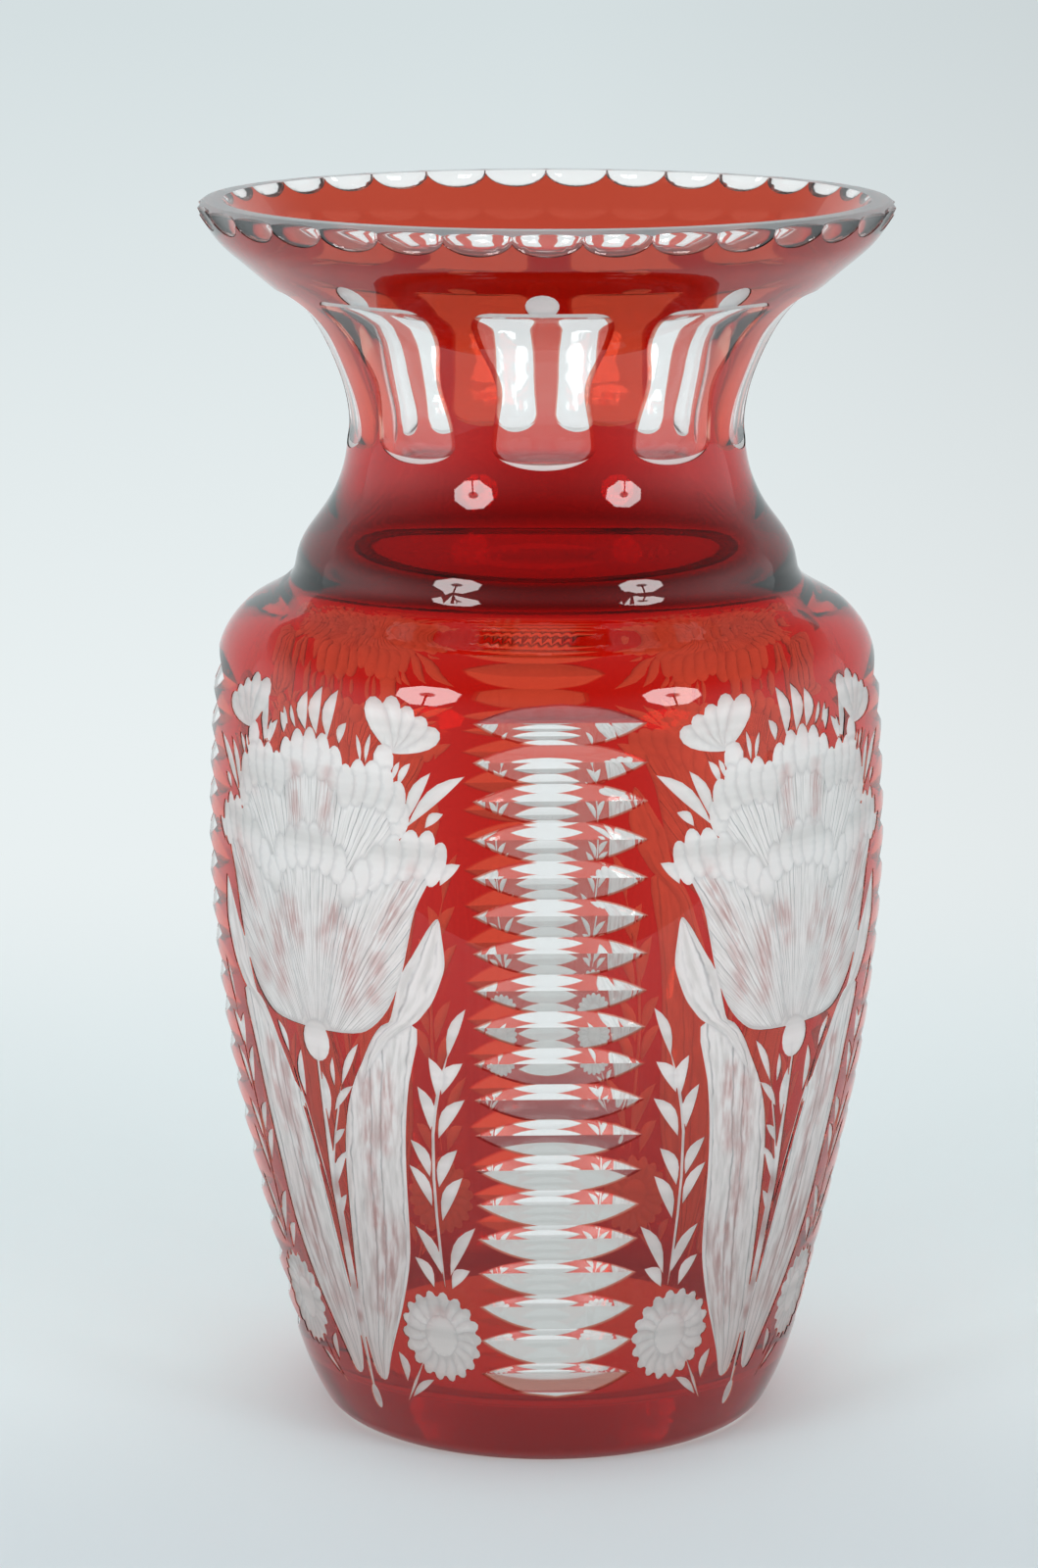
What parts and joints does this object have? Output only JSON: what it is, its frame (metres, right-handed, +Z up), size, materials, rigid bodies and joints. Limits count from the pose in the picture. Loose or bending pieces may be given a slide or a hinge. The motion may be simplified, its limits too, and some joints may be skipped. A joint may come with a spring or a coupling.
{
  "type": "cased crystal vase",
  "caption": "Tall shouldered vase with a flared mouth, in clear crystal under a thin ruby casing that is cut through in mitre columns, neck windows, rim scallops and flower panels.",
  "frame": {"origin": "centre of the flat ground base, on the surface that the vase stands on", "axes": "+Z up along the vase's axis; -Y towards the viewer, through the middle of one column of lens cuts"},
  "size_m": [0.168, 0.168, 0.3],
  "materials": {
    "clear_crystal": "polished clear lead crystal, matte white where it is engraved",
    "ruby_glass": "polished transparent ruby casing"
  },
  "bodies": {
    "root": {"crystal_body": "clear_crystal", "ruby_casing": "ruby_glass"}
  },
  "joints": []
}
